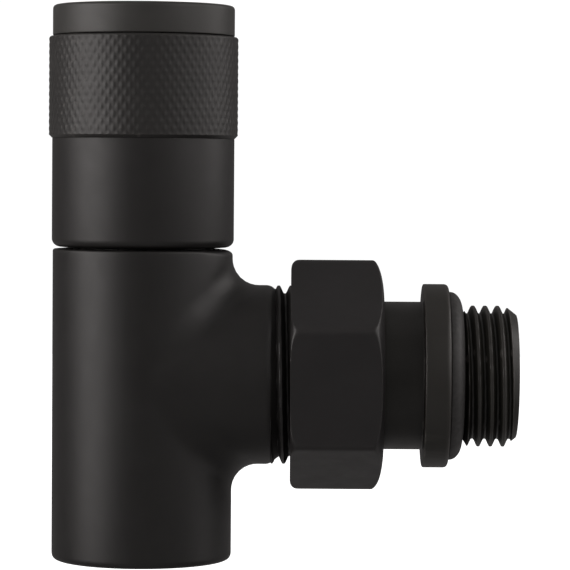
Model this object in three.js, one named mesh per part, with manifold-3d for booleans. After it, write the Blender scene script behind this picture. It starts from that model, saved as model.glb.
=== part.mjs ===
// Angled lockshield radiator valve: barrel with a concealed pipe fitting, headwork under a knurled cap,
// and a side branch whose union nut holds a threaded radiator tail. Millimetres, +Z up.
// The barrel's axis is Z, its open lower end lies in z = 0, and the branch points along +X.
import * as THREE from "three";
import { mergeVertices } from "three/addons/utils/BufferGeometryUtils.js";
import Module from "manifold-3d";

const wasm = await Module();
wasm.setup();

// ---------------------------------------------------------------- driving dimensions
const BARREL = { radius: 13.33, top: 46.05, footRound: 1.1, topRound: 0.5 };
const BRANCH = { height: 27.55, radius: 13.27, neckEnd: 19.2, end: 30.5, bore: 7, spigotBore: 9.3 };
const FILLET = { radius: 3.9, growth: 2.3 }; // wider at the sides, where barrel and branch nearly touch
const PIPE = { bore: 7.6, stop: 16 }; // socket for a 15 mm pipe
const GLAND = { bore: 11.1, depth: 9.2, thread: 10.9, from: 0.6, to: 8.9 }; // M22 x 1.5 compression nut
const OLIVE = { from: 9.2, to: 13.4, outer: 9.55 };
const SEAT = { throat: 5.2, land: 6.5, floor: 19.5, top: 20.8, chamber: 9.6 };
const HEAD = { thread: 10.1, from: 38.6, hexAcross: 18, hexFrom: 46.4, hexTop: 50, neck: 7.2, top: 62 };
const SPINDLE = { thread: 4.9, shoulder: 43.6, stem: 3.9, top: 60.2, socketAcross: 5, socketDepth: 5 };
const BUTTON = { radius: 3.4, neck: 2.2, from: 26.3, to: 28, play: 0.3 }; // spindle's foot
const STEM_GROOVES = { heights: [51, 54], width: 1.3, radius: 2.95 };
const WASHER = { radius: 7.2, from: 20.85, to: 22.9, hole: 1.75 };
const DISC = { radius: 8.1, rim: 0.7, rimFrom: 21.7, from: 23, flangeTop: 25, boss: 5.2, top: 29.9 };
const SCREW = { head: 2.7, shank: 1.4, from: 19.3, reach: 1.6, slot: 0.8 };
const CAP = {
  radius: 13.47, foot: 46.35, shoulder: 62.2, top: 82, footRound: 1.4, topRound: 0.7, bore: 11.9,
};
const CAP_DISC = { radius: 13.43 };
const KNURL = { inner: 12.95, outer: 13.98, from: 62.5, to: 77.4, chamfer: 0.4 };
const LINER = { outer: 11.6, inner: 9, from: 51.7, top: 74.6, web: 1.5, rib: 7.6, clipHeight: 57.5 };
const PITCH = 1.814; // 14 threads per inch, on both the branch and the tail
const BRANCH_THREAD = { major: 13.22, minor: 12.06, phase: 19.28 }; // G 3/4
const TAIL_THREAD = { major: 10.45, minor: 9.3, phase: 48.07 }; // G 1/2
const NUT = {
  across: 30, turn: 34, from: 22, to: 35.75, trim: 17.25, dome: 2.1, bore: 13.5, shelf: 12.4, lip: 11.15,
};
const TAIL = {
  from: 27, spigot: 8.95, shoulder: 30.8, radius: 10.95, end: 55.4, bore: 5.9, hexAcross: 12,
};
const CLIP = { height: 32.7, groove: 0.75 }; // snap ring that holds the nut on the tail
const COLLAR = { from: 41.5, to: 45.4, radius: 13.6 };
const SEAL = { from: 45.5, to: 47.5, outer: 12.45, inner: 9.6, dome: 1.6 };
const WIRE = { radius: 0.5, tailRadius: 0.6, gap: 26 }; // wire rings and their opening in degrees
const FINE = 32; // segments round the outer shells
const COARSE = 24; // segments round small and inner pieces
const TAU = Math.PI * 2;

// ---------------------------------------------------------------- materials
const finish = (color, roughness, metalness) => new THREE.MeshStandardMaterial({ color, roughness, metalness });
const blackCoat = finish(0x1f1e1d, 0.45, 0.1);
const brass = finish(0xb08d4a, 0.35, 1);
const blackRubber = finish(0x141414, 0.8, 0);
const springSteel = finish(0x9a9a98, 0.3, 1);
const darkPlastic = finish(0x2b2b2d, 0.55, 0);

// ---------------------------------------------------------------- shape helpers
// A profile is a list of [radius, height]. It closes on itself, or starts and ends on the axis.
function revolve(profile, segments = FINE) {
  const points = profile.map(([radius, height]) => new THREE.Vector2(radius, height));
  if (points[0].x > 0) points.push(points[0].clone());
  if (THREE.ShapeUtils.area(points) < 0) points.reverse();
  return new THREE.LatheGeometry(points, segments).rotateX(Math.PI / 2);
}

// Points of an arc in a profile, in degrees from the outward direction.
function arc(radius, height, size, fromDegrees, toDegrees, steps = 3) {
  return Array.from({ length: steps + 1 }, (_, i) => {
    const angle = THREE.MathUtils.degToRad(THREE.MathUtils.lerp(fromDegrees, toDegrees, i / steps));
    return [radius + size * Math.cos(angle), height + size * Math.sin(angle)];
  });
}

// Points of the quarter ellipse that rounds a turned-down end face, from its rim in to the inner radius.
function domeArc(inner, rim, height, depth, steps = 5) {
  return Array.from({ length: steps + 1 }, (_, i) => {
    const angle = (i / steps) * (TAU / 4);
    return [inner + (rim - inner) * Math.cos(angle), height - depth * (1 - Math.sin(angle))];
  });
}

const rod = (radius, from, to, segments = COARSE) =>
  revolve([[0, from], [radius, from], [radius, to], [0, to]], segments);

// Hexagonal prism with two corners on the X axis.
function hexagon(across, from, to) {
  const radius = across / Math.sqrt(3);
  const shape = new THREE.Shape(
    Array.from({ length: 6 }, (_, i) =>
      new THREE.Vector2(radius * Math.cos((i * TAU) / 6), radius * Math.sin((i * TAU) / 6))),
  );
  return new THREE.ExtrudeGeometry(shape, { depth: to - from, bevelEnabled: false }).translate(0, 0, from);
}

const bar = (length, width, from, to) =>
  new THREE.BoxGeometry(length, width, to - from).translate(0, 0, (from + to) / 2);

const ring = (radius, height, section, steps = 6) =>
  revolve(arc(radius, height, section, 0, 360, steps).slice(0, -1), COARSE);

// Open wire ring round Z.
class RingPath extends THREE.Curve {
  constructor(radius, height, gapDegrees) {
    super();
    Object.assign(this, { radius, height, gap: THREE.MathUtils.degToRad(gapDegrees) });
  }
  getPoint(t, target = new THREE.Vector3()) {
    const angle = this.gap / 2 + t * (TAU - this.gap);
    return target.set(this.radius * Math.cos(angle), this.radius * Math.sin(angle), this.height);
  }
}

function wireRing(radius, height, section) {
  const round = new THREE.Shape(
    Array.from({ length: 6 }, (_, i) =>
      new THREE.Vector2(section * Math.cos((i * TAU) / 6), section * Math.sin((i * TAU) / 6))),
  );
  const extrudePath = new RingPath(radius, height, WIRE.gap);
  return new THREE.ExtrudeGeometry(round, { steps: COARSE, bevelEnabled: false, extrudePath });
}

// ---------------------------------------------------------------- booleans
function toSolid(geometry) {
  const bare = new THREE.BufferGeometry().setAttribute("position", geometry.getAttribute("position"));
  bare.setIndex(geometry.index);
  const merged = mergeVertices(bare, 1e-4);
  return new wasm.Manifold(
    new wasm.Mesh({
      numProp: 3,
      vertProperties: merged.attributes.position.array,
      triVerts: new Uint32Array(merged.index.array),
    }),
  );
}

function toGeometry(solid) {
  const { vertProperties, triVerts } = solid.getMesh();
  const geometry = new THREE.BufferGeometry();
  geometry.setAttribute("position", new THREE.BufferAttribute(vertProperties, 3));
  geometry.setIndex(new THREE.BufferAttribute(triVerts, 1));
  geometry.computeVertexNormals();
  return geometry;
}

const cut = (geometry, ...tools) =>
  toGeometry(tools.reduce((solid, tool) => solid.subtract(toSolid(tool)), toSolid(geometry)));
const join = (geometry, ...others) =>
  toGeometry(others.reduce((solid, other) => solid.add(toSolid(other)), toSolid(geometry)));
const common = (a, b) => toGeometry(toSolid(a).intersect(toSolid(b)));

// Turns a shape made about Z so that it lies along the branch.
const alongBranch = (geometry) => geometry.rotateY(Math.PI / 2).translate(0, 0, BRANCH.height);

// ---------------------------------------------------------------- screw thread
// Right-hand thread as a solid bar about Z. The rows of vertices follow the helix: row i at the end of a turn
// is row i + (points per pitch) at its start, so every crest and root is one unbroken edge.
function threadBar({ major, minor, phase }, from, to, segments = COARSE) {
  const section = [[-0.1, major], [0.1, major], [0.5, minor]]; // [share of the pitch, radius]
  const perPitch = section.length;
  const firstTurn = Math.floor((from - phase) / PITCH) - 2;
  const turns = Math.ceil((to - from) / PITCH) + 3;
  const rows = turns * perPitch;
  const positions = [];
  for (let row = 0; row <= rows + perPitch; row++) {
    const [offset, radius] = section[row % perPitch];
    const start = phase + (firstTurn + Math.floor(row / perPitch) + offset) * PITCH;
    for (let step = 0; step < segments; step++) {
      const angle = (step * TAU) / segments;
      positions.push(radius * Math.cos(angle), radius * Math.sin(angle), start + (PITCH * angle) / TAU);
    }
  }
  const low = positions.length / 3;
  const high = low + 1;
  positions.push(0, 0, positions[2], 0, 0, phase + (firstTurn + turns + 1) * PITCH);
  const at = (row, step) => (step === segments ? at(row + perPitch, 0) : row * segments + step);
  const faces = [];
  for (let step = 0; step < segments; step++) {
    for (let row = 0; row < rows; row++) {
      const [a, b, c, d] = [at(row, step), at(row, step + 1), at(row + 1, step + 1), at(row + 1, step)];
      faces.push(a, b, c, a, c, d);
    }
    faces.push(at(0, step + 1), at(0, step), low, at(rows, step), at(rows, step + 1), high);
  }
  for (let row = 0; row < perPitch; row++) {
    faces.push(at(row, 0), at(row + 1, 0), low, at(rows + row + 1, 0), at(rows + row, 0), high);
  }
  const geometry = new THREE.BufferGeometry();
  geometry.setAttribute("position", new THREE.Float32BufferAttribute(positions, 3));
  return geometry.setIndex(faces);
}

// ---------------------------------------------------------------- valve body
// Rolling-ball fillet between barrel and branch, as a closed ring of sections that reach inside both.
function branchFillet(sections = FINE, steps = 3) {
  const outline = (angle) => {
    const ball = FILLET.radius * (1 + FILLET.growth * Math.sin(angle) ** 2);
    const reach = BRANCH.radius + ball;
    const centre = new THREE.Vector3(0, reach * Math.sin(angle), reach * Math.cos(angle));
    centre.x = Math.sqrt((BARREL.radius + ball) ** 2 - centre.y ** 2);
    const onBarrel = BARREL.radius / (BARREL.radius + ball);
    const onBranch = BRANCH.radius / reach;
    const first = new THREE.Vector3(centre.x * onBarrel, centre.y * onBarrel, centre.z);
    const last = new THREE.Vector3(centre.x, centre.y * onBranch, centre.z * onBranch);
    const inside = first.clone().lerp(last, 0.5).multiplyScalar(0.85);
    const rim = Array.from({ length: steps + 1 }, (_, i) =>
      first.clone().lerp(last, i / steps).sub(centre).setLength(ball).add(centre));
    return [inside, ...rim];
  };
  const size = steps + 2;
  const points = Array.from({ length: sections }, (_, i) => outline((i * TAU) / sections)).flat();
  const at = (section, point) => (section % sections) * size + (point % size);
  const faces = [];
  for (let s = 0; s < sections; s++) {
    for (let p = 0; p < size; p++) {
      const [a, b, c, d] = [at(s, p), at(s, p + 1), at(s + 1, p + 1), at(s + 1, p)];
      faces.push(a, b, c, a, c, d);
    }
  }
  const geometry = new THREE.BufferGeometry().setFromPoints(points).setIndex(faces);
  return geometry.translate(0, 0, BRANCH.height);
}

function valveBody() {
  const { radius, top, footRound, topRound } = BARREL;
  const barrel = revolve([
    [0, 0],
    ...arc(radius - footRound, footRound, footRound, -90, 0),
    ...arc(radius - topRound, top - topRound, topRound, 0, 90, 2),
    [0, top],
  ]);
  const branch = revolve([
    [0, 0],
    [BRANCH.radius, 0],
    [BRANCH.radius, BRANCH.neckEnd - 0.8],
    [BRANCH.radius - 0.2, BRANCH.neckEnd - 0.2],
    [BRANCH_THREAD.minor, BRANCH.neckEnd + 0.3],
    [BRANCH_THREAD.minor - 0.2, BRANCH.end - 2],
    [0, BRANCH.end - 2],
  ]);
  const threadTrim = revolve([
    [0, BRANCH.neckEnd - 0.1],
    [BRANCH_THREAD.major + 0.4, BRANCH.neckEnd],
    [BRANCH_THREAD.major + 0.4, BRANCH.end - 1.6],
    [BRANCH_THREAD.minor - 0.1, BRANCH.end],
    [0, BRANCH.end],
  ]);
  const thread = common(threadBar(BRANCH_THREAD, BRANCH.neckEnd, BRANCH.end), threadTrim);

  const waterway = revolve(
    [
      [0, -1],
      [GLAND.bore, -1],
      [GLAND.bore, GLAND.depth + 0.6],
      [OLIVE.outer + 0.35, GLAND.depth + 2.2],
      [OLIVE.outer + 0.35, OLIVE.to - 1.2],
      [PIPE.bore, OLIVE.to + 0.9],
      [PIPE.bore, PIPE.stop],
      [SEAT.throat + 1, PIPE.stop],
      [SEAT.throat, PIPE.stop + 1.4],
      [SEAT.throat, SEAT.top],
      [SEAT.land, SEAT.top],
      [SEAT.land + 0.5, SEAT.floor],
      [SEAT.chamber, SEAT.floor],
      [SEAT.chamber, HEAD.from - 1],
      [HEAD.thread + 0.25, HEAD.from - 0.6],
      [HEAD.thread + 0.25, top - 1.5],
      [HEAD.thread + 0.85, top - 1.4],
      [HEAD.thread + 0.85, top + 1],
      [0, top + 1],
    ],
    COARSE,
  );
  const branchBore = revolve(
    [
      [0, 0],
      [BRANCH.bore, 0],
      [BRANCH.bore, TAIL.from - 0.6],
      [BRANCH.spigotBore, TAIL.from - 0.5],
      [BRANCH.spigotBore, BRANCH.end - 0.8],
      [BRANCH.spigotBore + 0.9, BRANCH.end + 0.1],
      [0, BRANCH.end + 0.1],
    ],
    COARSE,
  );
  const shell = join(barrel, alongBranch(branch), branchFillet(), alongBranch(thread));
  return cut(shell, waterway, alongBranch(branchBore));
}

// ---------------------------------------------------------------- pipe fitting in the barrel's foot
function compressionNut() {
  const sleeve = revolve(
    [
      [PIPE.bore, GLAND.from],
      [GLAND.thread - 0.5, GLAND.from],
      [GLAND.thread, GLAND.from + 0.5],
      [GLAND.thread, GLAND.to - 0.4],
      [GLAND.thread - 0.6, GLAND.to],
      [PIPE.bore + 1.4, GLAND.to],
      [PIPE.bore, GLAND.to - 1.4],
    ],
    FINE,
  );
  const slots = [bar(30, 2.6, 0, GLAND.from + 1.8), bar(2.6, 30, 0, GLAND.from + 1.8)];
  return cut(sleeve, ...slots);
}

function olive() {
  const { from, to, outer } = OLIVE;
  return revolve(
    [
      [PIPE.bore, from],
      [PIPE.bore + 1, from],
      [outer, from + 1.5],
      [outer, to - 1.6],
      [PIPE.bore + 0.5, to],
      [PIPE.bore, to],
    ],
    COARSE,
  );
}

// ---------------------------------------------------------------- headwork
function bonnet() {
  const { thread, from, hexAcross, hexFrom, hexTop, neck, top } = HEAD;
  const tip = hexAcross / Math.sqrt(3) - 0.2;
  const groove = LINER.clipHeight;
  const outer = revolve(
    [
      [0, from],
      [thread - 0.5, from],
      [thread, from + 0.5],
      [thread, BARREL.top - 1.3],
      [thread - 0.85, BARREL.top - 1.2],
      [thread - 0.85, hexFrom],
      [neck, hexFrom + 0.1],
      [neck, groove - 0.8],
      [neck - 0.5, groove - 0.5],
      [neck - 0.5, groove + 0.5],
      [neck, groove + 0.8],
      [neck, top - 0.8],
      [neck - 0.8, top],
      [0, top],
    ],
    COARSE,
  );
  const hexTrim = revolve([
    [0, hexFrom],
    [tip - 0.8, hexFrom],
    [tip, hexFrom + 0.5],
    [tip, hexTop - 0.5],
    [tip - 1, hexTop],
    [0, hexTop],
  ]);
  const hex = common(hexagon(hexAcross, hexFrom, hexTop), hexTrim);
  const bore = revolve([
    [0, from - 1],
    [SPINDLE.thread + 0.25, from - 1],
    [SPINDLE.thread + 0.25, SPINDLE.shoulder + 4.8],
    [SPINDLE.stem + 0.2, SPINDLE.shoulder + 4.9],
    [SPINDLE.stem + 0.2, top + 1],
    [0, top + 1],
  ], COARSE);
  return cut(join(outer, hex), bore);
}

function spindle() {
  const { thread, shoulder, stem, top } = SPINDLE;
  const grooves = STEM_GROOVES.heights.flatMap((height) => [
    [stem, height - STEM_GROOVES.width / 2],
    [STEM_GROOVES.radius, height - STEM_GROOVES.width / 2],
    [STEM_GROOVES.radius, height + STEM_GROOVES.width / 2],
    [stem, height + STEM_GROOVES.width / 2],
  ]);
  const stick = revolve(
    [
      [0, BUTTON.from],
      [BUTTON.radius, BUTTON.from],
      [BUTTON.radius, BUTTON.to],
      [BUTTON.neck, BUTTON.to],
      [BUTTON.neck, DISC.top + 0.5],
      [thread - 0.4, DISC.top + 0.5],
      [thread, DISC.top + 0.9],
      [thread, shoulder - 0.4],
      [stem, shoulder],
      ...grooves,
      [stem, top - 0.5],
      [stem - 0.4, top],
      [0, top],
    ],
    COARSE,
  );
  return cut(stick, hexagon(SPINDLE.socketAcross, top - SPINDLE.socketDepth, top + 1));
}

const stemRing = (height) => ring(STEM_GROOVES.radius + 0.58, height, 0.5);

function valveDisc() {
  const { radius, rim, rimFrom, from, flangeTop, boss, top } = DISC;
  const pocket = BUTTON.radius + BUTTON.play;
  const mouth = BUTTON.neck + BUTTON.play;
  return revolve(
    [
      [0, from + SCREW.reach + 0.3],
      [SCREW.shank + 0.2, from + SCREW.reach + 0.3],
      [SCREW.shank + 0.2, from],
      [radius - rim, from],
      [radius - rim, rimFrom],
      [radius, rimFrom],
      [radius, flangeTop - 0.4],
      [radius - 0.5, flangeTop],
      [boss, flangeTop],
      [boss, top],
      [mouth, top],
      [mouth, BUTTON.to + 0.2],
      [pocket, BUTTON.to + 0.2],
      [pocket, BUTTON.from - BUTTON.play],
      [0, BUTTON.from - BUTTON.play],
    ],
    COARSE,
  );
}

function seatWasher() {
  const { radius, from, to, hole } = WASHER;
  return revolve([[hole, from], [radius - 0.2, from], [radius, from + 0.3], [radius, to], [hole, to]], COARSE);
}

function washerScrew() {
  const { head, shank, from, reach, slot } = SCREW;
  const under = WASHER.from - 0.1;
  const screw = revolve(
    [
      [0, from],
      [head - 0.5, from],
      [head, from + 0.4],
      [head, under],
      [shank, under],
      [shank, DISC.from + reach],
      [0, DISC.from + reach],
    ],
    COARSE,
  );
  return cut(screw, bar(3 * head, slot, from - 0.3, from + 0.7));
}

const bonnetRing = () => ring(HEAD.thread - 0.1, BARREL.top - 0.5, 0.62);

// ---------------------------------------------------------------- cap
function capLiner() {
  const { outer, inner, from, top, web, rib, clipHeight } = LINER;
  const slot = WIRE.radius + 0.1;
  return revolve(
    [
      [inner, from],
      [outer, from],
      [outer, top],
      [0, top],
      [0, top - web],
      [inner, top - web],
      [inner, clipHeight + 2.6],
      [rib, clipHeight + 2],
      [rib, clipHeight + slot],
      [rib + 0.9, clipHeight + slot],
      [rib + 0.9, clipHeight - slot],
      [rib, clipHeight - slot],
      [rib, clipHeight - 2],
      [inner, clipHeight - 2.6],
    ],
    COARSE,
  );
}

function capSleeve() {
  const { radius, foot, shoulder, footRound, bore } = CAP;
  const step = HEAD.hexAcross / Math.sqrt(3) + 0.5;
  const seat = KNURL.inner - 0.2;
  const rim = KNURL.to - 0.2;
  return revolve([
    [bore, rim],
    [bore, LINER.from - 0.2],
    [step, LINER.from - 0.4],
    [step, HEAD.hexTop + 0.2],
    [bore + 0.4, HEAD.hexTop - 0.6],
    [bore + 0.4, foot + 0.3],
    [bore + 0.7, foot],
    ...arc(radius - footRound, foot + footRound, footRound, -90, 0),
    [radius, shoulder - 0.4],
    [radius - 0.4, shoulder],
    [seat, shoulder],
    [seat, rim],
  ]);
}

function knurledBand() {
  const { inner, outer, from, to, chamfer } = KNURL;
  return revolve([
    [inner, from],
    [outer - chamfer, from],
    [outer, from + chamfer],
    [outer, to - chamfer],
    [outer - chamfer, to],
    [inner, to],
  ]);
}

function capTopDisc() {
  const { top, topRound, bore } = CAP;
  const { radius } = CAP_DISC;
  const seam = KNURL.to + 0.3;
  return revolve([
    [0, LINER.top + 0.3],
    [bore - 0.3, LINER.top + 0.3],
    [bore - 0.3, seam],
    [radius - 0.4, seam],
    [radius - 0.1, seam + 0.3],
    ...arc(radius - topRound, top - topRound, topRound, 0, 90),
    [0, top],
  ]);
}

// ---------------------------------------------------------------- radiator union, made about Z, then laid down
function unionNut() {
  const { across, from, to, trim, dome, bore, shelf, lip } = NUT;
  const blank = hexagon(across, from, to).rotateZ(THREE.MathUtils.degToRad(NUT.turn - 90));
  const rounding = revolve([
    [0, from],
    [trim - 1.3, from],
    [trim - 0.5, from + 0.4],
    [trim, from + 1.3],
    ...domeArc(lip + 0.3, trim, to, dome),
    [0, to],
  ]);
  const hollow = revolve([
    [0, from - 1],
    [bore + 1, from - 1],
    [bore + 0.8, from - 0.1],
    [bore, from + 0.8],
    [bore, BRANCH.end + 1.2],
    [shelf, BRANCH.end + 1.5],
    [shelf, to - 2.2],
    [lip, to - 2.1],
    [lip, to + 1],
    [0, to + 1],
  ]);
  return cut(common(blank, rounding), hollow);
}

function unionTail() {
  const { from, spigot, shoulder, radius, end, bore, hexAcross } = TAIL;
  const { height: clip, groove } = CLIP;
  const shank = revolve([
    [0, from],
    [spigot - 0.6, from],
    [spigot, from + 0.6],
    [spigot, from + 0.95],
    [spigot - 1.15, from + 1],
    [spigot - 1.15, from + 2.5],
    [spigot, from + 2.55],
    [spigot, shoulder],
    [radius - 0.3, shoulder],
    [radius, shoulder + 0.3],
    [radius, clip - 0.75],
    [radius - groove, clip - 0.7],
    [radius - groove, clip + 0.7],
    [radius, clip + 0.75],
    [radius, COLLAR.from],
    [COLLAR.radius - 0.3, COLLAR.from],
    [COLLAR.radius, COLLAR.from + 0.3],
    [COLLAR.radius, COLLAR.to - 0.7],
    [COLLAR.radius - 0.2, COLLAR.to - 0.2],
    [COLLAR.radius - 0.7, COLLAR.to],
    [TAIL_THREAD.minor + 0.05, COLLAR.to],
    [TAIL_THREAD.minor + 0.05, SEAL.to],
    [TAIL_THREAD.minor - 0.2, SEAL.to + 0.4],
    [TAIL_THREAD.minor - 0.2, end - 2],
    [0, end - 2],
  ]);
  const threadTrim = revolve([
    [0, SEAL.to],
    [TAIL_THREAD.minor, SEAL.to],
    [TAIL_THREAD.major + 0.3, SEAL.to + 0.8],
    [TAIL_THREAD.major + 0.3, end - 1.3],
    [TAIL_THREAD.minor - 0.3, end],
    [0, end],
  ]);
  const thread = common(threadBar(TAIL_THREAD, SEAL.to, end), threadTrim);
  const hexFrom = COLLAR.to;
  return cut(join(shank, thread), rod(bore, from - 1, hexFrom + 1, 24), hexagon(hexAcross, hexFrom, end + 1));
}

function collarSeal() {
  const { from, to, outer, inner } = SEAL;
  return revolve([
    [inner, from],
    [outer, from],
    [outer, to - SEAL.dome],
    ...domeArc(outer - 2.2, outer, to, SEAL.dome, 4).slice(1),
    [inner, to],
  ]);
}

// ---------------------------------------------------------------- assembly
function piece(name, geometry, material) {
  const mesh = new THREE.Mesh(geometry, material);
  mesh.name = name;
  return mesh;
}

const valve = new THREE.Group();
const union = new THREE.Group(); // its Z is the branch's axis
union.position.z = BRANCH.height;
union.rotation.y = Math.PI / 2;

valve.add(
  piece("valve_body", valveBody(), blackCoat),
  piece("compression_nut", compressionNut(), brass),
  piece("olive", olive(), brass),
  piece("bonnet", bonnet(), blackCoat),
  piece("bonnet_o_ring", bonnetRing(), blackRubber),
  piece("spindle", spindle(), brass),
  piece("spindle_o_ring_lower", stemRing(STEM_GROOVES.heights[0]), blackRubber),
  piece("spindle_o_ring_upper", stemRing(STEM_GROOVES.heights[1]), blackRubber),
  piece("valve_disc", valveDisc(), brass),
  piece("seat_washer", seatWasher(), blackRubber),
  piece("washer_screw", washerScrew(), brass),
  piece("cap_liner", capLiner(), darkPlastic),
  piece("cap_snap_ring", wireRing(LINER.rib + 0.25, LINER.clipHeight, WIRE.radius), springSteel),
  piece("cap_sleeve", capSleeve(), blackCoat),
  piece("knurled_band", knurledBand(), blackCoat),
  piece("cap_top_disc", capTopDisc(), blackCoat),
  union,
);
union.add(
  piece("union_nut", unionNut(), blackCoat),
  piece("union_snap_ring", wireRing(TAIL.radius, CLIP.height, WIRE.tailRadius), springSteel),
  piece("union_tail", unionTail(), blackCoat),
  piece("tail_o_ring", ring(TAIL.spigot - 0.45, TAIL.from + 1.75, 0.62), blackRubber),
  piece("collar_seal", collarSeal(), blackRubber),
);

export default valve;
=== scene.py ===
"""Matt black angled lockshield radiator valve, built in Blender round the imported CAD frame."""

import math

import bmesh
import bpy
import numpy as np
from mathutils import Matrix, Vector

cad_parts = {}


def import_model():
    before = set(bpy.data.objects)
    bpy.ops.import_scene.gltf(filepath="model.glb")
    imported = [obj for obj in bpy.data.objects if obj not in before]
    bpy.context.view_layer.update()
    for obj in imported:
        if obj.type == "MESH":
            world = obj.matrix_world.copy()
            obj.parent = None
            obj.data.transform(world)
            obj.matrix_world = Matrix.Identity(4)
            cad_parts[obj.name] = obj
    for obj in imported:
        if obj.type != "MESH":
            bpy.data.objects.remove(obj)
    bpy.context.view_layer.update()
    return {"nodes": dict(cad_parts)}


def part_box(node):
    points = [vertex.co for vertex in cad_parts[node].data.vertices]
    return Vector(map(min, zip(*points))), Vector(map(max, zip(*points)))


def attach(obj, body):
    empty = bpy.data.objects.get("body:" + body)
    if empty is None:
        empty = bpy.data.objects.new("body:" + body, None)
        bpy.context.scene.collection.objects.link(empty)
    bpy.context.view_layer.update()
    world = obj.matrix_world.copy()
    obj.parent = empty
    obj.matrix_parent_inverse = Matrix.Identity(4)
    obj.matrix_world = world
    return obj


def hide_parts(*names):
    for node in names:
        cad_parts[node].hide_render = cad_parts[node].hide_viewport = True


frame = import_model()

# ---------------------------------------------------------------- sizes, in millimetres
MM = 0.001
TAU = 2 * math.pi


def extent(node):
    """Lowest and highest corner of a CAD node in millimetres."""
    low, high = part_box(node)
    return [v / MM for v in low], [v / MM for v in high]


BODY_LOW, BODY_HIGH = extent("valve_body")
SLEEVE_LOW, SLEEVE_HIGH = extent("cap_sleeve")
BAND_LOW, BAND_HIGH = extent("knurled_band")
DISC_LOW, DISC_HIGH = extent("cap_top_disc")
LINER_LOW, LINER_HIGH = extent("cap_liner")
NUT_LOW, NUT_HIGH = extent("union_nut")
TAIL_LOW, TAIL_HIGH = extent("union_tail")
SEAL_HIGH = extent("collar_seal")[1]
HEAD_LOW, HEAD_HIGH = extent("bonnet")
STEM_LOW, STEM_HIGH = extent("spindle")
GLAND_LOW, GLAND_HIGH = extent("compression_nut")
OLIVE_LOW, OLIVE_HIGH = extent("olive")

BARREL_RADIUS = -BODY_LOW[0]
BARREL_TOP = BODY_HIGH[2]
BARREL_EDGE = 0.35  # rounding of the barrel's upper edge
DRESSED_IN, DRESSED_DOWN = 1.25, 0.5  # how much more of that edge is gone above the branch
FOOT_ROUND = 1.1
BRANCH_HEIGHT = (NUT_LOW[2] + NUT_HIGH[2]) / 2
BRANCH_RADIUS = BARREL_RADIUS - 0.06
BRANCH_END = BODY_HIGH[0]
NECK_END = BRANCH_END - 11.3
NECK_EASE = 0.9  # last stretch of the neck, which draws in a little before the thread
FILLET = 3.9  # radius of the fillet between barrel and branch, above and below
FILLET_GROWTH = 2.3  # how much larger it is at the sides, as a share
PATCH_TOP = BRANCH_HEIGHT + 17.4  # the patch of barrel wall that the fillet runs into
PATCH_FOOT = BRANCH_HEIGHT - 17.4
PIPE_RADIUS = 7.6  # the pipe's socket, which the compression nut and the olive share
PITCH = 1.814
BRANCH_THREAD = {"major": 13.22, "minor": 12.06, "phase": 19.28}
TAIL_THREAD = {"major": 10.45, "minor": 9.3, "phase": 48.07}
THREAD_CREST = 0.18  # share of the way from crest to root that the round crest takes
THREAD_FLANK = 0.68  # share that the flank takes
THREAD_EASE = 0.045  # how softly the flank meets crest and root
CAP_RADIUS = SLEEVE_HIGH[0]
BAND_RADIUS = BAND_HIGH[0]
DISC_RADIUS = DISC_HIGH[0]
SEAM = 0.12  # gap that shows between the cap's pieces
KNURL_COUNT = 70
KNURL_DEPTH = 0.065
KNURL_RISE = 2.04  # height over which a groove moves on by one tooth
KNURL_SHARPNESS = 1.1
CLIP_GROOVE = 57.5  # height of the groove that the cap's wire ring snaps into
HEAD_ACROSS = 18  # the bonnet's hexagon
KEY_ACROSS = 5  # the spindle's socket
NUT_ACROSS = 30.08  # a little over 30, as the soft corners take some off
NUT_TRIM = 17.25  # radius to which the nut's corners are turned down
NUT_TURN = math.radians(34 - 90)
NUT_CORNER = 0.26  # softness of the nut's corners
TAIL_RADIUS = 10.95
TAIL_BORE = 5.9
TAIL_ACROSS = 12  # hexagon in the tail's bore
COLLAR_RADIUS = TAIL_HIGH[1]
COLLAR_FROM = 41.5
COLLAR_TO = 45.3
SEAL_RADIUS = SEAL_HIGH[1]
COLUMNS = 192
SHARP = 35  # edges over this angle in degrees are shaded sharp


# ---------------------------------------------------------------- mesh helpers
def rounded(points, default=0.12, steps=4, closed=True):
    """Profile of (radius, height) rows with rounded corners. A third value is that corner's own rounding."""
    count = len(points)
    rows = []
    for i, point in enumerate(points):
        size = point[2] if len(point) > 2 else default
        here = np.array(point[:2], float)
        if size == 0 or (not closed and i in (0, count - 1)):
            rows.append(here)
            continue
        before = np.array(points[i - 1][:2], float) - here
        after = np.array(points[(i + 1) % count][:2], float) - here
        reach = min(size, 0.45 * np.linalg.norm(before), 0.45 * np.linalg.norm(after))
        start = here + before / np.linalg.norm(before) * reach
        end = here + after / np.linalg.norm(after) * reach
        for t in np.linspace(0, 1, steps + 1):
            rows.append((1 - t) ** 2 * start + 2 * t * (1 - t) * here + t * t * end)
    return np.array(rows)


def round_edge(radius, end, inward, along):
    """Rows from an end face out to the side, a quarter of an ellipse that needs no more rounding."""
    turns = np.linspace(0, TAU / 4, 9)
    return [(radius - inward * (1 - math.sin(t)), end + along * (1 - math.cos(t)), 0) for t in turns]


def quarter_circle(share):
    """1 where the share is 0 or less, and down to 0 at 1 as a quarter of a circle."""
    return np.sqrt(1 - np.clip(share, 0, 1) ** 2)


def graded(places, counts):
    """Even steps from each place to the next, with a count of steps for each stretch."""
    runs = [np.linspace(a, b, n + 1)[:-1] for a, b, n in zip(places, places[1:], counts)]
    return np.concatenate([*runs, places[-1:]])


def ring_angles(columns=COLUMNS):
    """Angles of a full turn, with the first repeated at the end."""
    return np.linspace(0, TAU, columns + 1)


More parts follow.
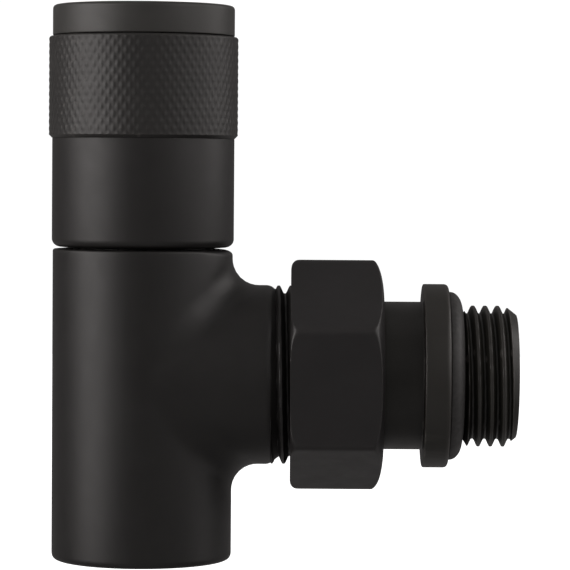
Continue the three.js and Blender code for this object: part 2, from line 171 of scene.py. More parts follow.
def spun(rows, angles):
    """Grid of points about Z from (radius, height) rows. Either can be one number or one for each angle."""
    radius, height = [np.array([values + 0 * angles for values in column]) for column in zip(*rows)]
    return np.stack([radius * np.cos(angles), radius * np.sin(angles), height], axis=-1)


def revolve(rows, columns=COLUMNS, closed=True):
    """Patch of a profile turned a full turn about Z."""
    rows = list(rows)
    return spun(rows + rows[:1] if closed else rows, ring_angles(columns))


def linked(name, data):
    """New object in the scene."""
    made = bpy.data.objects.new(name, data)
    bpy.context.scene.collection.objects.link(made)
    return made


def smooth(data, sharp=SHARP):
    """Smooth shading up to the given edge angle in degrees."""
    data.shade_smooth()
    data.set_sharp_from_angle(angle=math.radians(sharp))


def mesh_object(name, patches, along_branch=False, sharp=SHARP):
    """Object from grids of points, welded where they meet. Along the branch, the grids' Z becomes X."""
    mesh = bmesh.new()
    for patch in patches:
        points = np.array(patch)
        if along_branch:
            points = np.stack([points[..., 2], points[..., 1], BRANCH_HEIGHT - points[..., 0]], axis=-1)
        vertices = [[mesh.verts.new(p * MM) for p in row] for row in points]
        for low, high in zip(vertices, vertices[1:]):
            for a, b, c, d in zip(low, low[1:], high[1:], high):
                mesh.faces.new((a, b, c, d))
    bmesh.ops.remove_doubles(mesh, verts=mesh.verts, dist=1e-7)
    bmesh.ops.dissolve_degenerate(mesh, edges=mesh.edges, dist=1e-8)
    bmesh.ops.recalc_face_normals(mesh, faces=mesh.faces)
    data = bpy.data.meshes.new(name)
    mesh.to_mesh(data)
    mesh.free()
    smooth(data, sharp)
    return linked(name, data)


def cut(target, tool):
    """Cuts one object out of another. The tool is then removed."""
    modifier = target.modifiers.new("cut", "BOOLEAN")
    modifier.operation = "DIFFERENCE"
    modifier.solver = "EXACT"
    modifier.object = tool
    bpy.context.view_layer.update()
    evaluated = target.evaluated_get(bpy.context.evaluated_depsgraph_get())
    data = bpy.data.meshes.new_from_object(evaluated)
    target.modifiers.clear()
    target.data = data
    smooth(data)
    bpy.data.objects.remove(tool)


def block(low, high):
    """Cutting tool: a box from its lowest to its highest corner in millimetres."""
    mesh = bmesh.new()
    bmesh.ops.create_cube(mesh, size=1)
    for vertex in mesh.verts:
        vertex.co = Vector([(l + (h - l) * (c + 0.5)) * MM for l, h, c in zip(low, high, vertex.co)])
    data = bpy.data.meshes.new("block")
    mesh.to_mesh(data)
    mesh.free()
    return linked("block", data)


def hexagon_radius(across, angles, softness, turn=0.0):
    """Radius of a hexagon with soft corners, one of them at the turn angle."""
    flats = [across / 2 / np.maximum(np.cos(angles - turn - (k + 0.5) * TAU / 6), 1e-3) for k in range(6)]
    sharp = np.min(flats, axis=0)
    weight = sum(np.exp(-(f - sharp) / softness) for f in flats)
    return sharp - softness * np.log(weight)


def thread_radius(thread, height, angles):
    """Radius of a right-hand 55 degree thread with round crests and roots."""
    turn = (height - thread["phase"]) / PITCH - angles / TAU
    share = np.abs(turn - np.round(turn)) * 2  # 0 on a crest and 1 in a root
    ramp = np.clip((share - THREAD_CREST) / THREAD_FLANK, 0, 1)
    soft = ramp - THREAD_EASE * np.sin(TAU * ramp)
    return thread["major"] - (thread["major"] - thread["minor"]) * soft


# ---------------------------------------------------------------- materials
EDGE_HIGHLIGHT_PALE = (0.10, 0.094, 0.088)  # pale colour that paints a highlight on the coat's sharp edges
POINTED = (0.505, 0.56)  # pointedness at which the painted edge highlight starts and is full


class Nodes:
    """Small helper round one material's node tree."""

    def __init__(self, name):
        self.material = bpy.data.materials.new(name)
        self.material.use_nodes = True
        self.tree = self.material.node_tree
        self.shader = self.tree.nodes["Principled BSDF"]
        self.place = self.add("ShaderNodeTexCoord").outputs["Object"]

    def add(self, kind, **values):
        node = self.tree.nodes.new(kind)
        for key, value in values.items():
            setattr(node, key, value)
        return node

    def link(self, source, target):
        self.tree.links.new(source, target)

    def set(self, **values):
        """Constants on the shader's own sockets."""
        for key, value in values.items():
            self.shader.inputs[key.replace("_", " ")].default_value = value

    def drive(self, **sources):
        """Links into the shader's own sockets."""
        for key, source in sources.items():
            self.link(source, self.shader.inputs[key.replace("_", " ")])

    def stretched(self, scales):
        """Object space with a scale of its own for each axis."""
        node = self.add("ShaderNodeMapping")
        self.link(self.place, node.inputs["Vector"])
        node.inputs["Scale"].default_value = scales
        return node.outputs["Vector"]

    def noise(self, scale, detail=3.0, roughness=0.6, place=None):
        node = self.add("ShaderNodeTexNoise")
        self.link(place or self.place, node.inputs["Vector"])
        node.inputs["Scale"].default_value = scale
        node.inputs["Detail"].default_value = detail
        node.inputs["Roughness"].default_value = roughness
        return node.outputs["Fac"]

    def ramp(self, source, low, high, start=0.3, end=0.7):
        """Value that goes from low to high as the source goes from start to end."""
        node = self.add("ShaderNodeMapRange")
        self.link(source, node.inputs["Value"])
        node.inputs["From Min"].default_value = start
        node.inputs["From Max"].default_value = end
        node.inputs["To Min"].default_value = low
        node.inputs["To Max"].default_value = high
        return node.outputs["Result"]

    def mix(self, factor, first, second):
        """Mix of two colours, each of them a value or a socket."""
        node = self.add("ShaderNodeMix", data_type="RGBA")
        self.link(factor, node.inputs["Factor"])
        for name, colour in (("A", first), ("B", second)):
            if isinstance(colour, tuple):
                node.inputs[name].default_value = (*colour, 1)
            else:
                self.link(colour, node.inputs[name])
        return node.outputs["Result"]

    def bump(self, height, distance, strength, normal=None):
        node = self.add("ShaderNodeBump")
        self.link(height, node.inputs["Height"])
        node.inputs["Distance"].default_value = distance
        node.inputs["Strength"].default_value = strength
        if normal:
            self.link(normal, node.inputs["Normal"])
        return node.outputs["Normal"]


def black_coat(name, dark, light, roughness, painted_edge_highlight=0.0):
    """Matt powder coat with a fine grain and slow changes of gloss. Sharp edges can be painted paler as a
    painted edge highlight, by a share.
    """
    nodes = Nodes(name)
    coat = nodes.mix(nodes.ramp(nodes.noise(180, 4), 0, 1), dark, light)
    if painted_edge_highlight:
        # Painted edge highlight: the coat is mixed towards a pale colour where the mesh comes to a sharp edge
        # or tip.
        pointed = nodes.add("ShaderNodeNewGeometry").outputs["Pointiness"]
        coat = nodes.mix(nodes.ramp(pointed, 0, painted_edge_highlight, *POINTED), coat, EDGE_HIGHLIGHT_PALE)
    fine = nodes.bump(nodes.noise(5200, 2), 0.000012, 0.5)
    nodes.drive(
        Base_Color=coat,
        Roughness=nodes.ramp(nodes.noise(420, 5), roughness - 0.03, roughness + 0.04),
        Normal=nodes.bump(nodes.noise(900, 2), 0.00002, 0.25, fine),
    )
    nodes.set(IOR=1.5)
    return nodes.material


def rubber(name):
    """Dull moulded rubber with fine specks."""
    nodes = Nodes(name)
    speck = nodes.noise(1400, 4)
    nodes.drive(
        Base_Color=nodes.mix(nodes.ramp(speck, 0, 1), (0.031, 0.0302, 0.0297), (0.055, 0.0536, 0.0528)),
        Roughness=nodes.ramp(nodes.noise(600), 0.5, 0.62),
        Normal=nodes.bump(speck, 0.00002, 0.3),
    )
    return nodes.material


def turned_metal(name, dark, light, roughness):
    """Machined metal with fine tool marks round the turned faces."""
    nodes = Nodes(name)
    marks = nodes.noise(1, 2, 0.5, nodes.stretched((300, 300, 9000)))
    nodes.drive(
        Base_Color=nodes.mix(nodes.ramp(nodes.noise(300, 4), 0, 1), dark, light),
        Roughness=nodes.ramp(marks, roughness - 0.05, roughness + 0.1),
        Normal=nodes.bump(marks, 0.00001, 0.4),
    )
    nodes.set(Metallic=1.0)
    return nodes.material


def plastic(name):
    """Moulded black nylon with a fine grain."""
    nodes = Nodes(name)
    cloud = nodes.ramp(nodes.noise(240), 0, 1)
    nodes.drive(
        Base_Color=nodes.mix(cloud, (0.018, 0.018, 0.020), (0.026, 0.026, 0.028)),
        Roughness=nodes.ramp(nodes.noise(500), 0.42, 0.55),
        Normal=nodes.bump(nodes.noise(2600, 3), 0.00002, 0.3),
    )
    return nodes.material


COAT = black_coat("body_coat", (0.0088, 0.0083, 0.0080), (0.0112, 0.0106, 0.0102), 0.44)
CAP_COAT = black_coat("cap_coat", (0.0102, 0.0096, 0.0093), (0.0128, 0.0121, 0.0117), 0.46)
# The disc and the knurled band get paler copies of the black coat. Their extra paleness is painted light from
# above, which the cap's top catches.
DISC_COAT_PAINTED_LIGHT = black_coat("disc_coat_painted_light", (0.0345, 0.0341, 0.0318), (0.0420, 0.0416, 0.0386), 0.46)
# The last argument on the next three lines sets how strong their painted edge highlight is.
KNURL_COAT_PAINTED_LIGHT = black_coat("knurl_coat_painted_light", (0.0170, 0.0165, 0.0157), (0.0235, 0.0227, 0.0215), 0.46, painted_edge_highlight=0.3)
NUT_COAT = black_coat("nut_coat", (0.0124, 0.0115, 0.0118), (0.0154, 0.0143, 0.0147), 0.44, painted_edge_highlight=0.15)
TAIL_COAT = black_coat("tail_coat", (0.0120, 0.0114, 0.0092), (0.0155, 0.0147, 0.0120), 0.42, painted_edge_highlight=0.6)
RUBBER = rubber("black_rubber")
BRASS = turned_metal("machined_brass", (0.50, 0.36, 0.15), (0.62, 0.46, 0.21), 0.28)
STEEL = turned_metal("spring_wire", (0.42, 0.42, 0.41), (0.56, 0.56, 0.55), 0.25)
NYLON = plastic("liner_nylon")


def add_piece(made, material, body, node):
    """Gives a piece its material, the body that it rides on and the CAD node that it stands for."""
    made.data.materials.clear()
    made.data.materials.append(material)
    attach(made, body)
    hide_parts(node)


# ---------------------------------------------------------------- valve body
SIDE = 48  # columns on each side of the patch round the branch
WRAP = math.radians(100)  # half the barrel's turn that the patch covers
SKIN_ROWS, FILLET_ROWS, NECK_ROWS, BACK_COLUMNS = 16, 8, 13, 44


def branch_patches():
    """Barrel round the branch, the rolling-ball fillet and the neck, as one run of rows, and their angles.

    Each column starts on the square rim of the patch, goes down the ball's line of contact with the barrel,
    round the ball to its line of contact with the branch, and along the neck.
    """
    count = 4 * SIDE
    steps = np.arange(count + 1)
    angle = math.radians(-45) + TAU * steps / count
    ball = FILLET * (1 + FILLET_GROWTH * np.sin(angle) ** 6)
    reach = BRANCH_RADIUS + ball
    axle = BARREL_RADIUS + ball
    across = reach * np.sin(angle)
    centre = np.stack([np.sqrt(axle**2 - across**2), across, reach * np.cos(angle)])
    around = np.arcsin(centre[1] / axle)

    side, share = np.divmod(steps % count, SIDE)
    share = share / SIDE
    sweep = WRAP * (2 * share - 1)
    drop = PATCH_TOP + (PATCH_FOOT - PATCH_TOP) * share
    rise = PATCH_TOP + PATCH_FOOT - drop
    rim_angle = np.choose(side, [sweep, WRAP + 0 * share, -sweep, -WRAP + 0 * share])
    rim_height = np.choose(side, [PATCH_TOP + 0 * share, drop, PATCH_FOOT + 0 * share, rise])
    skin = []
    for t in np.linspace(0, 1, SKIN_ROWS + 1):
        turn = rim_angle + (around - rim_angle) * t
        height = rim_height + (BRANCH_HEIGHT + centre[2] - rim_height) * t
        skin.append(np.stack([BARREL_RADIUS * np.cos(turn), BARREL_RADIUS * np.sin(turn), height], axis=-1))

    middle = centre + np.array([[0], [0], [BRANCH_HEIGHT]])
    on_branch = BRANCH_RADIUS / reach
    last = np.stack([centre[0], centre[1] * on_branch, BRANCH_HEIGHT + centre[2] * on_branch])
    first_spoke, last_spoke = skin[-1].T - middle, last - middle
    fillet = []
    for t in np.linspace(0, 1, FILLET_ROWS + 1)[1:]:
        spoke = first_spoke * (1 - t) + last_spoke * t
        spoke *= ball / np.linalg.norm(spoke, axis=0)
        fillet.append((middle + spoke).T)

    straight = NECK_END - NECK_EASE
    neck = []
    for t in np.linspace(0, 1, NECK_ROWS + 1)[1:]:
        neck.append(np.stack([last[0] + (straight - last[0]) * t, last[1], last[2]], axis=-1))
    return np.array(skin + fillet + neck), angle


def branch_thread_rows(angle):
    """Shoulder, thread and end chamfer of the branch, down to the axis."""
    step, draw_in, run_out, end_slope = 0.085, 0.22, 0.8, 1.1
    along = np.arange(NECK_END - NECK_EASE, BRANCH_END + 0.001, step)[:, None]
    local = (math.pi - angle)[None, :]  # the thread's own angle about the branch
    threaded = thread_radius(BRANCH_THREAD, along, local)
    shoulder = BRANCH_RADIUS - draw_in * np.clip((along - NECK_END + NECK_EASE) / NECK_EASE, 0, 1) ** 2
    shoulder = np.where(along > NECK_END, shoulder - run_out * (along - NECK_END), shoulder)
    chamfer = BRANCH_THREAD["minor"] - 0.15 + (BRANCH_END - along) * end_slope
    radius = np.minimum(np.maximum(threaded, shoulder), chamfer)
    radius = np.where(along < NECK_END - 0.02, shoulder, radius)

    def row(place, size):
        across, up = size * np.sin(angle), size * np.cos(angle)
        return np.stack([place + 0 * angle, across, BRANCH_HEIGHT + up], axis=-1)

    rows = [row(place, size) for place, size in zip(along[:, 0], radius)]
    end_face = [row(along[-1, 0], radius[-1] * share) for share in (0.9, 0.0)]
    return np.array(rows + end_face)


def barrel_crown(angles):
    """Upper end of the barrel. Its edge is crisp all round, but is dressed back above the branch."""
    above = np.clip((np.cos(angles) - 0.55) / 0.45, 0, 1)
    above = above**2 * (3 - 2 * above)
    edge = []
    for turn in np.linspace(0, TAU / 4, 9):
        radius = BARREL_RADIUS - (BARREL_EDGE + DRESSED_IN * above) * (1 - math.cos(turn))
        height = BARREL_TOP - (BARREL_EDGE + DRESSED_DOWN * above) * (1 - math.sin(turn))
        edge.append((radius, height))
    return spun([(BARREL_RADIUS, PATCH_TOP), *edge, (0, BARREL_TOP)], angles)


def waterway():
    """Pipe socket, seat and chamber, as the tool that cuts them."""
    gland = GLAND_HIGH[0] + 0.2
    olive_room = OLIVE_HIGH[0] + 0.35
    stop, seat_top, chamber_top = 16, 20.8, 37.6
    chamber, head = 9.6, 10.35
    over = BARREL_TOP + 1
    rows = [
        (0, -2, 0), (gland + 0.35, -2, 0), (gland + 0.35, 0, 0.05), (gland, 0.5), (gland, 9.8),
        (olive_room, 11.4), (olive_room, 12.2), (PIPE_RADIUS, 14.3), (PIPE_RADIUS, stop),
        (6.2, stop), (5.2, 17.4), (5.2, seat_top, 0.3), (6.5, seat_top, 0.3), (7, 19.5, 0.4),
        (chamber, 19.5, 0.8), (chamber, chamber_top), (head, 38), (head, 44.3),
        (10.95, 44.4), (10.95, over, 0), (0, over, 0),
    ]
    return mesh_object("waterway", [revolve(rounded(rows, closed=False), 128, closed=False)])


def branch_bore():
    """Way through the branch and the seat of the tail's spigot, as the tool that cuts them."""
    way, spigot = 7, 9.3
    start = TAIL_LOW[0]
    over = BRANCH_END + 5
    rows = [
        (0, 0.5, 0), (way, 0.5), (way, start - 0.6), (spigot, start - 0.5, 0.3), (spigot, BRANCH_END - 0.8),
        (spigot + 1, BRANCH_END + 0.2, 0), (spigot + 1, over, 0), (0, over, 0),
    ]
    profile = rounded(rows, closed=False)
    return mesh_object("branch_bore", [revolve(profile, 128, closed=False)], along_branch=True)


def valve_body():
    """Barrel, branch and thread in one coated casting, with its waterway cut through."""
    run, angle = branch_patches()
    front = np.linspace(-WRAP, WRAP, SIDE + 1)
    back = np.linspace(WRAP, TAU - WRAP, BACK_COLUMNS + 1)
    full = np.concatenate([front, back[1:]])
    heights = np.linspace(PATCH_TOP, PATCH_FOOT, SIDE + 1)
    foot = [(BARREL_RADIUS, PATCH_FOOT), (BARREL_RADIUS, 0, FOOT_ROUND), (0, 0)]
    made = mesh_object("valve_body_coated", [
        np.concatenate([run, branch_thread_rows(angle)]),
        spun([(BARREL_RADIUS, height) for height in heights], back),
        barrel_crown(full),
        spun(rounded(foot, steps=10, closed=False), full),
    ])
    cut(made, waterway())
    cut(made, branch_bore())
    return made


add_piece(valve_body(), COAT, "body", "valve_body")


# ---------------------------------------------------------------- cap
def cap_sleeve():
    """Lower part of the cap, with a ledge inside that clears the bonnet's hexagon."""
    foot, rim = SLEEVE_LOW[2], SLEEVE_HIGH[2]
    shoulder = BAND_LOW[2] - SEAM
    bore, seat = 11.9, 12.75
    lip = HEAD_ACROSS / math.sqrt(3) + 0.5
    rows = [
        (bore, rim), (bore, 51.5), (lip, 51.3), (lip, 50.2), (bore + 0.1, 49.8), (bore + 0.1, foot),
        *round_edge(CAP_RADIUS, foot, 1.3, 1.2),
        (CAP_RADIUS, shoulder, 0.1), (seat, shoulder, 0.05), (seat, rim),
    ]
    return mesh_object("cap_sleeve_coated", [revolve(rounded(rows, steps=8))])


def knurled_band():
    """Band with two crossing sets of shallow grooves, which run out into its turned-down edges."""
    low, high = BAND_LOW[2] - 0.1, BAND_HIGH[2]
    inner = 12.95
    edge = 0.6
    angles = ring_angles(KNURL_COUNT * 10)
    heights = graded([low, low + edge, high - edge, high], [12, 130, 12])[:, None]
    climb = (heights - low - 0.35) / KNURL_RISE
    teeth = angles / TAU * KNURL_COUNT
    waves = [0.5 + 0.5 * np.cos(TAU * (teeth + way * climb)) for way in (-1, 1)]
    face = BAND_RADIUS - KNURL_DEPTH * (1 - (waves[0] * waves[1]) ** KNURL_SHARPNESS)
    lower = CAP_RADIUS + 0.02 + (heights - low)
    upper = BAND_RADIUS - 0.42 + 0.42 * quarter_circle(1 - (high - heights) / 0.5)
    radius = np.minimum(np.minimum(face, lower), upper)
    outer = spun(zip(radius, heights), angles)
    inside = spun([(radius[-1], high), (inner, high), (inner, low), (radius[0], low)], angles)
    return mesh_object("knurled_band_coated", [outer, inside], sharp=60)


def cap_top_disc():
    """Disc that closes the cap, with a spigot down into the band."""
    seam = BAND_HIGH[2] + SEAM
    spigot = 11.6
    rows = [
        (0, DISC_LOW[2]), (spigot, DISC_LOW[2]), (spigot, seam, 0.05), (DISC_RADIUS, seam, 0.2),
        (DISC_RADIUS, DISC_HIGH[2], 0.7), (0, DISC_HIGH[2]),
    ]
    return mesh_object("cap_top_disc_coated", [revolve(rounded(rows, steps=8, closed=False), closed=False)])


def cap_liner():
    """Moulded cup with a rib that holds the wire ring."""
    low, top = LINER_LOW[2], LINER_HIGH[2]
    outer, inner, rib, floor_thickness = LINER_HIGH[0], 9, 7.6, 1.5
    rows = [
        (inner, low, 0.4), (outer, low, 0.4), (outer, top, 0.3), (0, top, 0),
        (0, top - floor_thickness, 0), (inner, top - floor_thickness, 0.5),
        (inner, CLIP_GROOVE + 2.6), (rib, CLIP_GROOVE + 2), (rib, CLIP_GROOVE + 0.6),
        (rib + 0.9, CLIP_GROOVE + 0.6), (rib + 0.9, CLIP_GROOVE - 0.6),
        (rib, CLIP_GROOVE - 0.6), (rib, CLIP_GROOVE - 2), (inner, CLIP_GROOVE - 2.6),
    ]
    return mesh_object("cap_liner_moulded", [revolve(rounded(rows), 96)])


add_piece(cap_sleeve(), CAP_COAT, "cap_shell", "cap_sleeve")
add_piece(knurled_band(), KNURL_COAT_PAINTED_LIGHT, "cap_shell", "knurled_band")
add_piece(cap_top_disc(), DISC_COAT_PAINTED_LIGHT, "cap_shell", "cap_top_disc")
add_piece(cap_liner(), NYLON, "cap_liner", "cap_liner")


# ---------------------------------------------------------------- radiator union
def union_nut():
    """Hexagon whose corners are turned down at both ends, softened as a coated nut is."""
    low, high = NUT_LOW[0], NUT_HIGH[0]
    lip, bore, dome, softness = 11.15, 13.5, 2.1, 0.09
    angles = ring_angles(6 * 48) + NUT_TURN
    along = graded([low, low + 1.8, high - 2.6, high], [24, 11, 32])[:, None]
    left = NUT_TRIM - 1.6 + 1.6 * quarter_circle(1 - (along - low) / 1.4)
    face = lip + 0.35
    right = face + (NUT_TRIM + 0.1 - face) * quarter_circle((along - high + dome) / dome)
    trim = np.minimum(np.minimum(left, right), NUT_TRIM)
    hexagon = hexagon_radius(NUT_ACROSS, angles, NUT_CORNER, NUT_TURN)
    sharp = np.minimum(hexagon, trim)
    weight = np.exp(-(hexagon - sharp) / softness) + np.exp(-(trim - sharp) / softness)
    radius = sharp - softness * np.log(weight)
    inner = rounded([
        (lip + 0.3, high, 0.1), (lip, high - 0.3), (lip, high - 2.1), (12.4, high - 2.2), (12.4, 32),
        (bore, 31.7), (bore, low + 0.8), (14.3, low, 0.1),
    ], closed=False)
    outer = spun(zip(radius, along), angles)
    hollow = spun([(radius[-1], high), *inner, (radius[0], low)], angles)
    return mesh_object("union_nut_coated", [outer, hollow], along_branch=True, sharp=40)


def union_tail():
    """Spigot with its O-ring groove, shank, collar, thread and hexagon bore."""
    start, end = TAIL_LOW[0], TAIL_HIGH[0]
    spigot, groove = 8.95, 7.8
    shank_from, clip, clip_depth = 30.8, 32.7, 0.75
    core = TAIL_THREAD["minor"] + 0.05
    thread_from = SEAL_HIGH[0]
    shank = rounded([
        (TAIL_BORE, COLLAR_TO), (TAIL_BORE, start, 0.3),
        (spigot - 0.6, start), (spigot, start + 0.6), (spigot, start + 0.95),
        (groove, start + 1), (groove, start + 2.5), (spigot, start + 2.55), (spigot, shank_from),
        (TAIL_RADIUS, shank_from, 0.3), (TAIL_RADIUS, clip - 0.75),
        (TAIL_RADIUS - clip_depth, clip - 0.7), (TAIL_RADIUS - clip_depth, clip + 0.7),
        (TAIL_RADIUS, clip + 0.75), (TAIL_RADIUS, COLLAR_FROM, 0.25),
        (COLLAR_RADIUS, COLLAR_FROM, 0.3), (COLLAR_RADIUS, COLLAR_TO, 0.75),
        (core, COLLAR_TO, 0.05), (core, thread_from),
    ], steps=6, closed=False)
    angles = ring_angles()
    along = np.arange(thread_from + 0.05, end - 0.001, 0.08)[:, None]
    threaded = thread_radius(TAIL_THREAD, along, angles[None, :])
    lead_in = TAIL_THREAD["minor"] + (along - thread_from) * 1.6
    lead_out = 9.1 + (end - along) * 0.8
    radius = np.minimum(np.minimum(threaded, lead_in), lead_out)
    hexagon = hexagon_radius(TAIL_ACROSS, angles, 0.03)
    thread = spun([(core, thread_from), *zip(radius, along)], angles)
    bore = spun([
        (radius[-1], along[-1]), (9, end), (hexagon + 0.5, end), (hexagon, end - 0.5), (hexagon, COLLAR_TO),
        (TAIL_BORE, COLLAR_TO),
    ], angles)
    return mesh_object("union_tail_coated", [spun(shank, angles), thread, bore], along_branch=True)


def collar_seal():
    """Sealing ring against the collar, domed on its free side."""
    low, high = COLLAR_TO + 0.06, SEAL_HIGH[0] - 0.12
    inner = 9.6
    dome = reversed(round_edge(SEAL_RADIUS, high, 2.6, -1.8))
    rows = [(inner, low), (SEAL_RADIUS, low, 0.1), *dome, (inner, high)]
    return mesh_object("collar_seal_moulded", [revolve(rounded(rows, 0.05))], along_branch=True)


add_piece(union_nut(), NUT_COAT, "union_nut", "union_nut")
add_piece(union_tail(), TAIL_COAT, "union_tail", "union_tail")
add_piece(collar_seal(), RUBBER, "union_tail", "collar_seal")


# ---------------------------------------------------------------- headwork and pipe fitting
def bonnet():
    """Headwork: screwed body, hexagon, and the neck that the cap snaps on."""
    low, top = HEAD_LOW[2], HEAD_HIGH[2]
    hex_from, hex_top = 46.15, 50
    neck, groove, bore, stem = 7.2, 6.7, 5.15, 4.1
    angles = ring_angles(6 * 32)
    screwed = rounded([
        (bore, low), (9.6, low), (10.1, low + 0.5), (10.1, 44.5), (9.25, 44.6), (9.25, hex_from),
    ], closed=False)
    trim = rounded([
        (9.4, hex_from, 0), (10.2, hex_from + 0.5), (10.2, hex_top - 0.5), (9.2, hex_top, 0),
    ], closed=False)
    hexagon = hexagon_radius(HEAD_ACROSS, angles, 0.05)
    sides = [(np.minimum(hexagon, radius), height) for radius, height in trim]
    upper = rounded([
        (neck, hex_top, 0.3), (neck, CLIP_GROOVE - 0.8), (groove, CLIP_GROOVE - 0.5),
        (groove, CLIP_GROOVE + 0.5), (neck, CLIP_GROOVE + 0.8), (neck, top - 0.8), (neck - 0.8, top),
        (stem, top), (stem, 48.5), (bore, 48.4), (bore, low),
    ], closed=False)
    return mesh_object("bonnet_turned", [spun([*screwed, *sides, *upper], angles)])


def spindle():
    """Spindle with rings for its thread, two O-ring grooves and a key socket in its head."""
    low, top = STEM_LOW[2], STEM_HIGH[2]
    thread, root, stem, groove, chamfer = 4.9, 4.4, 3.9, 2.95, 0.4
    rows = [(0, low, 0), (3.4, low), (3.4, 28), (2.2, 28), (2.2, 30.4), (thread - chamfer, 30.4)]
    for height in 30.8 + np.arange(13):
        rows += [(thread, height, 0.05), (thread, height + 0.25, 0.05)]
        rows += [(root, height + 0.5, 0.05), (root, height + 0.75, 0.05)]
    rows.append((stem, 43.6))
    for height in (51, 54):
        lower, upper = height - 0.65, height + 0.65
        rows += [(stem, lower), (groove, lower), (groove, upper), (stem, upper)]
    rows += [(stem, top - chamfer), (stem - chamfer, top)]
    angles = ring_angles(6 * 24)
    key = hexagon_radius(KEY_ACROSS, angles, 0.02)
    socket = [(key + 0.25, top), (key, top - 0.25), (key, top - 5), (0, top - 5.8)]
    return mesh_object("spindle_turned", [spun([*rounded(rows, closed=False), *socket], angles)])


def compression_nut():
    """Gland nut with two crossed slots for its tool."""
    low, high = GLAND_LOW[2], GLAND_HIGH[2]
    outer = GLAND_HIGH[0]
    rows = [
        (PIPE_RADIUS, low, 0.3), (outer - 0.5, low), (outer, low + 0.5), (outer, high - 0.4),
        (outer - 0.6, high), (PIPE_RADIUS + 1.4, high), (PIPE_RADIUS, high - 1.4),
    ]
    made = mesh_object("compression_nut_turned", [revolve(rounded(rows), 128)])
    for x, y in ((15, 1.3), (1.3, 15)):
        cut(made, block((-x, -y, -1), (x, y, low + 1.8)))
    return made


def olive():
    """Ring that grips the pipe, coned at both ends."""
    low, high = OLIVE_LOW[2], OLIVE_HIGH[2]
    outer = OLIVE_HIGH[0]
    rows = [
        (PIPE_RADIUS, low), (PIPE_RADIUS + 1, low), (outer, low + 1.5, 0.5), (outer, high - 1.6, 0.5),
        (PIPE_RADIUS + 0.5, high), (PIPE_RADIUS, high),
    ]
    return mesh_object("olive_turned", [revolve(rounded(rows), 96)])


add_piece(bonnet(), COAT, "body", "bonnet")
add_piece(spindle(), BRASS, "spindle", "spindle")
add_piece(compression_nut(), BRASS, "compression_nut", "compression_nut")
add_piece(olive(), BRASS, "olive", "olive")

CARRIED_OVER = {
    "bonnet_o_ring": RUBBER, "spindle_o_ring_lower": RUBBER, "spindle_o_ring_upper": RUBBER,
    "tail_o_ring": RUBBER, "seat_washer": RUBBER, "valve_disc": BRASS, "washer_screw": BRASS,
    "cap_snap_ring": STEEL, "union_snap_ring": STEEL,
}
for node, material in CARRIED_OVER.items():
    part = frame["nodes"][node]
    part.data.materials.clear()
    part.data.materials.append(material)
    smooth(part.data, 40)


# ---------------------------------------------------------------- studio, in metres but for the camera
DISTANCE = 450.0  # millimetres from the camera to the valve's plane, as are the next three
PICTURE_WIDTH = 84.432
EYE = (22.2, 57.5)  # camera's X and Z
AIM = (21.1, 40.85)  # X and Z in the middle of the picture
ROLL = math.radians(0.41)
SENSOR = 36
WARM_WHITE = (1.04, 0.99, 0.975)
MIDDLE = Vector((0.015, 0, 0.045))  # point that the soft boxes face
SOFTBOX_REACH = 0.45
SOFTBOX_SIZE = (0.22, 0.36)
SOFTBOXES = [  # azimuth in degrees, height in metres and power in watts
    (-50, 0.14, 0.44), (-68, 0.14, 0.42), (-85, 0.22, 0.48), (-68, 0.02, 0.17),
    (30, 0.22, 0.09), (60, 0.22, 0.30), (60, 0.42, 0.16), (105, 0.22, 0.48), (85, 0.04, 0.16),
]
OVERHEAD_PLACE = (0.015, -0.02, 0.6)
OVERHEAD_SIZE = (0.4, 0.4)
OVERHEAD_POWER = 0.11
SURROUND = [  # axis, where the brightness starts and is full along it, and the brightness
    ("Y", 0.0, -0.8, 0.145), ("Y", 0.2, 0.6, 0.14), ("Z", 0.0, -0.8, 0.15), ("Z", 0.0, 0.8, 0.085),
]
BACKDROP = 1.05
FLOOR_HALF = 1.5
FLOOR_HEIGHT = -0.06
FLOOR_GLOW = 1.2


def camera():
    """Camera at the front, a little above the valve's middle."""
    data = bpy.data.cameras.new("camera")
    data.sensor_width = SENSOR
    data.lens = SENSOR * DISTANCE / PICTURE_WIDTH
    data.clip_start = 0.01
    data.clip_end = 10
    made = linked("camera", data)
    made.location = Vector((EYE[0], -DISTANCE, EYE[1])) * MM
    aim = Vector((AIM[0], 0, AIM[1])) * MM
    look = (aim - made.location).to_track_quat("-Z", "Y").to_matrix().to_4x4()
    made.matrix_world = Matrix.Translation(made.location) @ look @ Matrix.Rotation(ROLL, 4, "Z")
    bpy.context.scene.camera = made


def softbox(place, size, power):
    """Soft box that faces the valve's middle."""
    data = bpy.data.lights.new("softbox", "AREA")
    data.shape = "RECTANGLE"
    data.size, data.size_y = size
    data.energy = power
    data.color = WARM_WHITE
    made = linked("softbox", data)
    made.location = place
    made.rotation_euler = (made.location - MIDDLE).to_track_quat("Z", "Y").to_euler()
    made.visible_camera = False


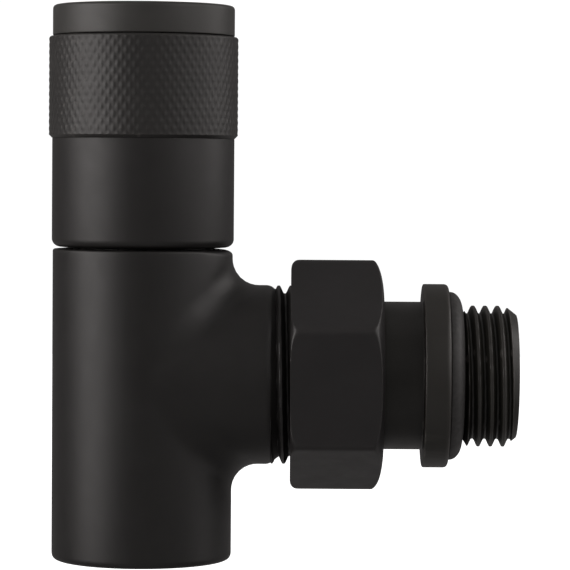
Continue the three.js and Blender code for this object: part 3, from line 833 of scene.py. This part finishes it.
def world():
    """White surround for the camera, and a dim one that lights the valve, by the sums in SURROUND."""
    made = bpy.data.worlds.new("world")
    bpy.context.scene.world = made
    made.use_nodes = True
    nodes, links = made.node_tree.nodes, made.node_tree.links
    nodes.clear()
    split = nodes.new("ShaderNodeSeparateXYZ")
    links.new(nodes.new("ShaderNodeTexCoord").outputs["Generated"], split.inputs[0])
    total = None
    for axis, start, end, strength in SURROUND:
        fade = nodes.new("ShaderNodeMapRange")
        links.new(split.outputs[axis], fade.inputs["Value"])
        for name, value in {"From Min": start, "From Max": end, "To Min": 0.0, "To Max": strength}.items():
            fade.inputs[name].default_value = value
        if total is None:
            total = fade.outputs["Result"]
            continue
        add = nodes.new("ShaderNodeMath")
        links.new(total, add.inputs[0])
        links.new(fade.outputs["Result"], add.inputs[1])
        total = add.outputs[0]
    lit = nodes.new("ShaderNodeBackground")
    lit.inputs["Color"].default_value = (*WARM_WHITE, 1)
    links.new(total, lit.inputs["Strength"])
    seen = nodes.new("ShaderNodeBackground")
    seen.inputs["Color"].default_value = (1, 1, 1, 1)
    seen.inputs["Strength"].default_value = BACKDROP
    mix = nodes.new("ShaderNodeMixShader")
    links.new(nodes.new("ShaderNodeLightPath").outputs["Is Camera Ray"], mix.inputs[0])
    links.new(lit.outputs[0], mix.inputs[1])
    links.new(seen.outputs[0], mix.inputs[2])
    links.new(mix.outputs[0], nodes.new("ShaderNodeOutputWorld").inputs["Surface"])


def floor():
    """White floor below the valve, which neither lights it nor shows in it."""
    data = bpy.data.meshes.new("floor")
    corners = [(-1, -1), (1, -1), (1, 1), (-1, 1)]
    data.from_pydata([(x * FLOOR_HALF, y * FLOOR_HALF, FLOOR_HEIGHT) for x, y in corners], [], [(0, 1, 2, 3)])
    made = linked("floor", data)
    nodes = Nodes("floor_white")
    nodes.drive(Roughness=nodes.ramp(nodes.noise(40), 0.85, 0.95))
    nodes.set(Base_Color=(0.9, 0.9, 0.9, 1), Emission_Color=(1, 1, 1, 1), Emission_Strength=FLOOR_GLOW)
    data.materials.append(nodes.material)
    made.visible_diffuse = False
    made.visible_glossy = False


camera()
world()
floor()
for azimuth, stand, watts in SOFTBOXES:
    toward = math.radians(azimuth)  # 0 is the camera's side and positive is to its right
    x, y = MIDDLE.x + SOFTBOX_REACH * math.sin(toward), -SOFTBOX_REACH * math.cos(toward)
    softbox((x, y, stand), SOFTBOX_SIZE, watts)
softbox(OVERHEAD_PLACE, OVERHEAD_SIZE, OVERHEAD_POWER)
bpy.context.scene.view_settings.view_transform = "Standard"
